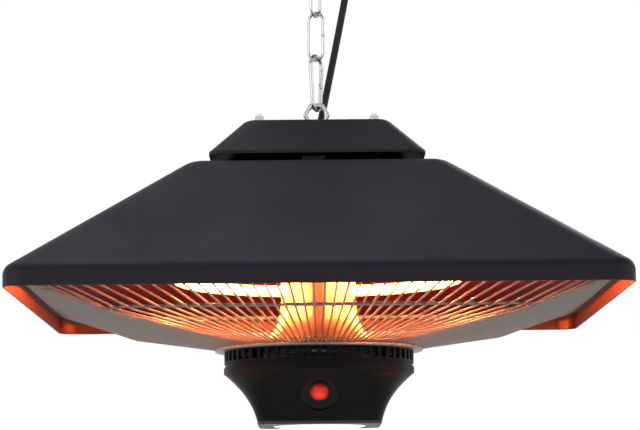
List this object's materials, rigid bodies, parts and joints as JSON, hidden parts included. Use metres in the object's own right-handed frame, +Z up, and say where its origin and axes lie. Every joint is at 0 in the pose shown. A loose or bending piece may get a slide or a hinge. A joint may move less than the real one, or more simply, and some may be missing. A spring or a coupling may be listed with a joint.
{
  "type": "hanging electric infrared heater",
  "caption": "Hanging infrared heater: square sheet canopy, ring lamp behind a wire guard, and a control pod with a downlight, hung on a chain from a ceiling rose.",
  "frame": {"origin": "middle of the ceiling rose's flat back, on the ceiling", "axes": "+Z up along the hanging chain, -Y the front with the sensor lens, +X to the right seen from the front"},
  "size_m": [0.598, 0.598, 0.5435],
  "materials": {
    "canopy_enamel": "satin black powder coat",
    "dark_bracket": "matt black",
    "zinc_steel": "bright zinc plate",
    "spacer_tube": "drawn aluminium tube",
    "reflector_sheet": "bright anodised sheet",
    "quartz_glass": "clear quartz",
    "filament_wire": "glowing wire",
    "lamp_ceramic": "white ceramic",
    "clip_steel": "spring steel",
    "lead_sleeve": "glass sleeving",
    "guard_steel": "nickel-plated wire",
    "column_steel": "polished",
    "ring_silver": "silver paint, satin",
    "pod_plastic": "fine matt black",
    "bezel_plastic": "gloss black",
    "lens_red": "dark red, polished",
    "frame_plastic": "dark grey",
    "diffuser_opal": "opal white",
    "board_green": "circuit board",
    "component_black": "moulded cases",
    "terminal_white": "white moulded",
    "cord_rubber": "black rubber sheath",
    "gland_black": "black nylon",
    "rose_enamel": "satin black powder coat"
  },
  "bodies": {
    "ceiling": {"rose_cover": "rose_enamel", "rose_plate": "zinc_steel", "rose_terminal": "terminal_white", "rose_tail": "cord_rubber", "rose_gland": "gland_black", "gland_nut": "gland_black", "ceiling_hook": "zinc_steel", "hook_nut": "zinc_steel", "power_cord": "cord_rubber"},
    "chain": {"chain_link_1": "zinc_steel", "chain_link_2": "zinc_steel", "snap_hook": "zinc_steel"},
    "gate": {"snap_gate": "zinc_steel", "gate_pin": "zinc_steel"},
    "heater": {"canopy": "canopy_enamel", "hood": "canopy_enamel", "hanger_plate": "dark_bracket", "hanger_rods": "zinc_steel", "rod_nuts": "zinc_steel", "rod_washers": "zinc_steel", "upper_spacers": "spacer_tube", "lower_spacers": "spacer_tube", "eye_bolt": "zinc_steel", "eye_washer": "zinc_steel", "eye_nut": "zinc_steel", "cord_tail": "cord_rubber", "cord_grommet": "gland_black", "terminal_block": "terminal_white", "terminal_bracket": "dark_bracket", "lamp_tube": "quartz_glass", "lamp_filament": "filament_wire", "lamp_caps": "lamp_ceramic", "lamp_plate": "clip_steel", "lamp_clips": "clip_steel", "lamp_leads": "lead_sleeve", "pod_cable": "lead_sleeve", "reflector": "reflector_sheet", "guard_wires": "guard_steel", "guard_hoops": "guard_steel", "guard_clips": "clip_steel", "column": "column_steel", "column_foot": "column_steel", "tie_rod": "zinc_steel", "tie_nuts": "zinc_steel", "pod_lid": "dark_bracket", "pod_ring": "ring_silver", "pod_collar": "pod_plastic", "pod_body": "pod_plastic", "pod_screws": "zinc_steel", "pod_frame": "frame_plastic", "frame_screws": "zinc_steel", "light_diffuser": "diffuser_opal", "light_board": "board_green", "light_chips": "terminal_white", "lens_bezel": "bezel_plastic", "sensor_lens": "lens_red", "sensor_board": "board_green", "control_board": "board_green", "transformer": "component_black", "relays": "component_black"}
  },
  "joints": [
    {"name": "chain_sway", "type": "hinge", "parent": "ceiling", "child": "chain", "pos_m": [0, 0, -0.0555], "axis": [0, 1, 0], "range_deg": [-8, 8], "deforming": ["power_cord"]},
    {"name": "heater_tilt", "type": "hinge", "parent": "chain", "child": "heater", "pos_m": [0, 0, -0.1968], "axis": [1, 0, 0], "range_deg": [-4, 4]},
    {"name": "gate_swing", "type": "hinge", "parent": "chain", "child": "gate", "pos_m": [0.00479, 0.00767, -0.17659], "axis": [0.848, -0.5299, 0], "range_deg": [0, 22], "stiffness_Nm_per_rad": 0.01, "springref_deg": -17.19}
  ]
}
